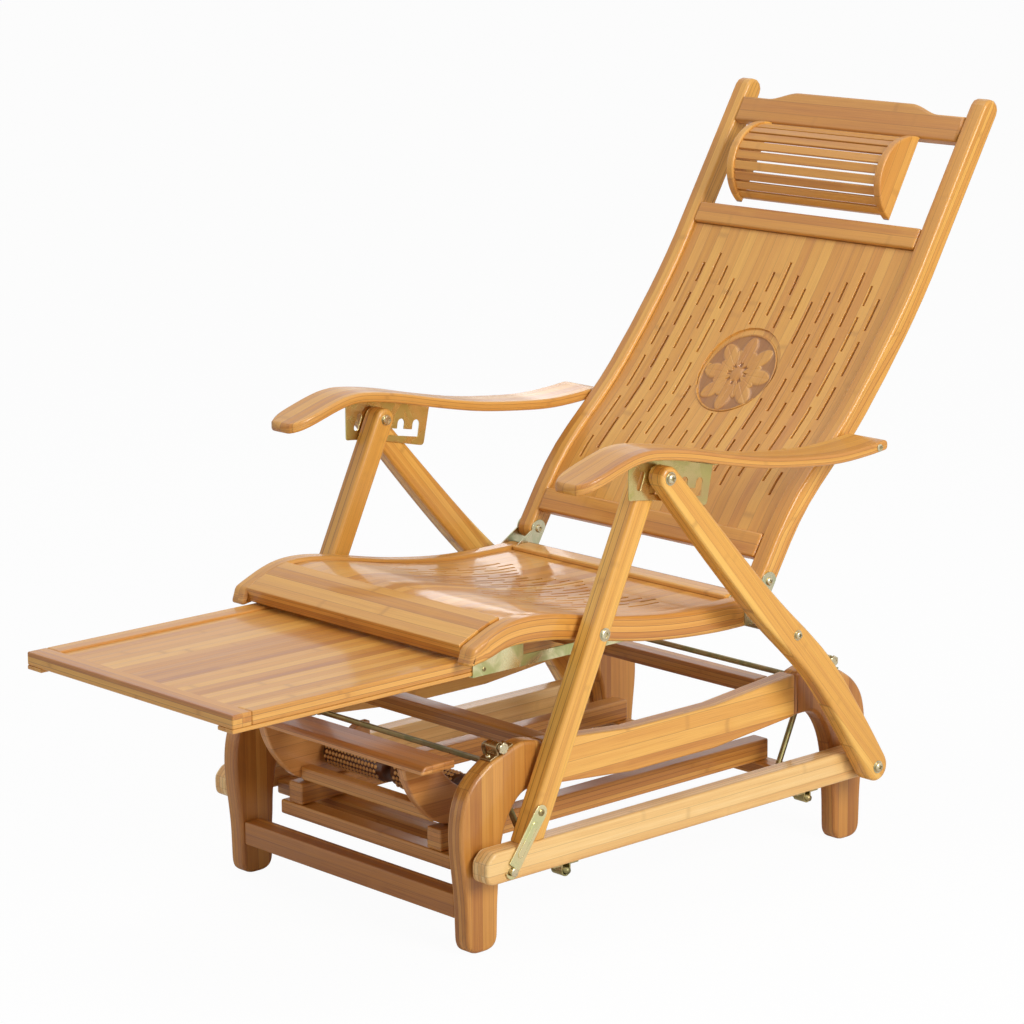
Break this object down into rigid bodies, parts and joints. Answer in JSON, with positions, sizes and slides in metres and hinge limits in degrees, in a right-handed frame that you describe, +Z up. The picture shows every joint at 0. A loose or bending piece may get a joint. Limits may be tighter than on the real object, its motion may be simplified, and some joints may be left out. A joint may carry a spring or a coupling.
{
  "type": "folding glider recliner chair",
  "caption": "Folding bamboo recliner on a hanging glider base, with slotted curved seat and back, slatted headrest, slide-out footrest and foot roller tray.",
  "frame": {"origin": "middle of the overall bounding box at floor level", "axes": "+Z up, -Y towards the footrest end, +Y towards the top of the back, +X across to the side with node names in right"},
  "size_m": [0.68, 1.4464, 1.0845],
  "materials": {
    "bamboo": "laminated carbonised bamboo, satin lacquer",
    "dark_bamboo": "dark turned bamboo, satin",
    "brass": "yellow passivated steel, satin",
    "zinc": "bright zinc plated steel"
  },
  "bodies": {
    "base": {"base_leg_front_left": "bamboo", "base_leg_front_right": "bamboo", "base_leg_rear_left": "bamboo", "base_leg_rear_right": "bamboo", "base_beam_left": "bamboo", "base_beam_right": "bamboo", "base_low_bar": "bamboo", "base_high_bar_front": "bamboo", "base_high_bar_rear": "bamboo", "upper_clamp_front_left": "brass", "upper_clamp_front_right": "brass", "upper_clamp_rear_left": "brass", "upper_clamp_rear_right": "brass"},
    "rear_bail": {"bail_rear": "brass"},
    "front_bail": {"bail_front": "brass"},
    "swing_frame": {"runner_left": "bamboo", "runner_right": "bamboo", "swing_bar_front": "bamboo", "swing_bar_rear": "bamboo", "tray_rail_left": "bamboo", "tray_rail_right": "bamboo", "tray_rail_tie": "bamboo", "lower_clamp_front_left": "brass", "lower_clamp_front_right": "brass", "lower_clamp_rear_left": "brass", "lower_clamp_rear_right": "brass"},
    "tray": {"tray_board": "bamboo", "tray_cheek_left": "bamboo", "tray_cheek_right": "bamboo", "tray_tie": "bamboo"},
    "roller_left": {"roller_left": "dark_bamboo"},
    "roller_right": {"roller_right": "dark_bamboo"},
    "rear_legs": {"rear_leg_left": "bamboo", "rear_leg_right": "bamboo", "rest_rod": "zinc"},
    "posts": {"post_left": "bamboo", "post_right": "bamboo"},
    "latch_left": {"latch_link_left": "brass"},
    "latch_right": {"latch_link_right": "brass"},
    "seat": {"seat_rail_left": "bamboo", "seat_rail_right": "bamboo", "seat_front_bar": "bamboo", "seat_rear_bar": "bamboo", "seat_panel": "bamboo", "slide_angle_left": "zinc", "slide_angle_right": "zinc", "back_hinge_left": "brass", "back_hinge_right": "brass"},
    "footrest": {"footrest": "bamboo"},
    "back": {"back_rail_left": "bamboo", "back_rail_right": "bamboo", "back_lower_bar": "bamboo", "back_upper_bar": "bamboo", "back_top_rail": "bamboo", "back_panel": "bamboo", "headrest": "bamboo"},
    "arm_left": {"arm_left": "bamboo", "arm_bracket_left": "brass"},
    "arm_right": {"arm_right": "bamboo", "arm_bracket_right": "brass"}
  },
  "joints": [
    {"name": "swing", "type": "hinge", "parent": "base", "child": "rear_bail", "pos_m": [0, 0.36775, 0.282], "axis": [1, 0, 0], "range_deg": [-6, 6]},
    {"name": "front_bail_swing", "type": "hinge", "parent": "base", "child": "front_bail", "pos_m": [0, -0.29225, 0.282], "axis": [1, 0, 0], "range_deg": [-7, 7]},
    {"name": "swing_frame_pivot", "type": "hinge", "parent": "rear_bail", "child": "swing_frame", "pos_m": [0, 0.28075, 0.097], "axis": [1, 0, 0], "range_deg": [-10, 10]},
    {"name": "tray_slide", "type": "slide", "parent": "swing_frame", "child": "tray", "axis": [0, -1, 0], "range_m": [0, 0.2]},
    {"name": "roller_left_spin", "type": "hinge", "parent": "tray", "child": "roller_left", "pos_m": [0, -0.25925, 0.19], "axis": [1, 0, 0], "continuous": true},
    {"name": "roller_right_spin", "type": "hinge", "parent": "tray", "child": "roller_right", "pos_m": [0, -0.25925, 0.19], "axis": [1, 0, 0], "continuous": true},
    {"name": "fold", "type": "hinge", "parent": "swing_frame", "child": "rear_legs", "pos_m": [0, 0.39075, 0.1295], "axis": [1, 0, 0], "range_deg": [-41, 0]},
    {"name": "post_fold", "type": "hinge", "parent": "rear_legs", "child": "posts", "pos_m": [0, -0.04225, 0.628], "axis": [1, 0, 0], "range_deg": [0, 62]},
    {"name": "seat_fold", "type": "hinge", "parent": "posts", "child": "seat", "pos_m": [0, -0.13525, 0.419], "axis": [1, 0, 0], "range_deg": [0, 6]},
    {"name": "latch_left_hook", "type": "hinge", "parent": "posts", "child": "latch_left", "pos_m": [0, -0.25825, 0.193], "axis": [1, 0, 0], "range_deg": [0, 40]},
    {"name": "latch_right_hook", "type": "hinge", "parent": "posts", "child": "latch_right", "pos_m": [0, -0.25825, 0.193], "axis": [1, 0, 0], "range_deg": [0, 40]},
    {"name": "footrest_slide", "type": "slide", "parent": "seat", "child": "footrest", "axis": [0, 1, 0], "range_m": [0, 0.26]},
    {"name": "recline", "type": "hinge", "parent": "seat", "child": "back", "pos_m": [0, 0.22975, 0.426], "axis": [1, 0, 0], "range_deg": [0, 24]},
    {"name": "arm_left_follow", "type": "hinge", "parent": "back", "child": "arm_left", "pos_m": [0, 0.37585, 0.61305], "axis": [1, 0, 0], "range_deg": [-24, 0]},
    {"name": "arm_right_follow", "type": "hinge", "parent": "back", "child": "arm_right", "pos_m": [0, 0.37585, 0.61305], "axis": [1, 0, 0], "range_deg": [-24, 0]}
  ],
  "couplings": [
    {"joint": "front_bail_swing", "follows": "swing", "ratio": 1},
    {"joint": "swing_frame_pivot", "follows": "swing", "ratio": -1.356},
    {"joint": "post_fold", "follows": "fold", "ratio": -1.5},
    {"joint": "seat_fold", "follows": "fold", "ratio": -0.12},
    {"joint": "arm_left_follow", "follows": "recline", "ratio": -0.79},
    {"joint": "arm_right_follow", "follows": "recline", "ratio": -0.79}
  ]
}
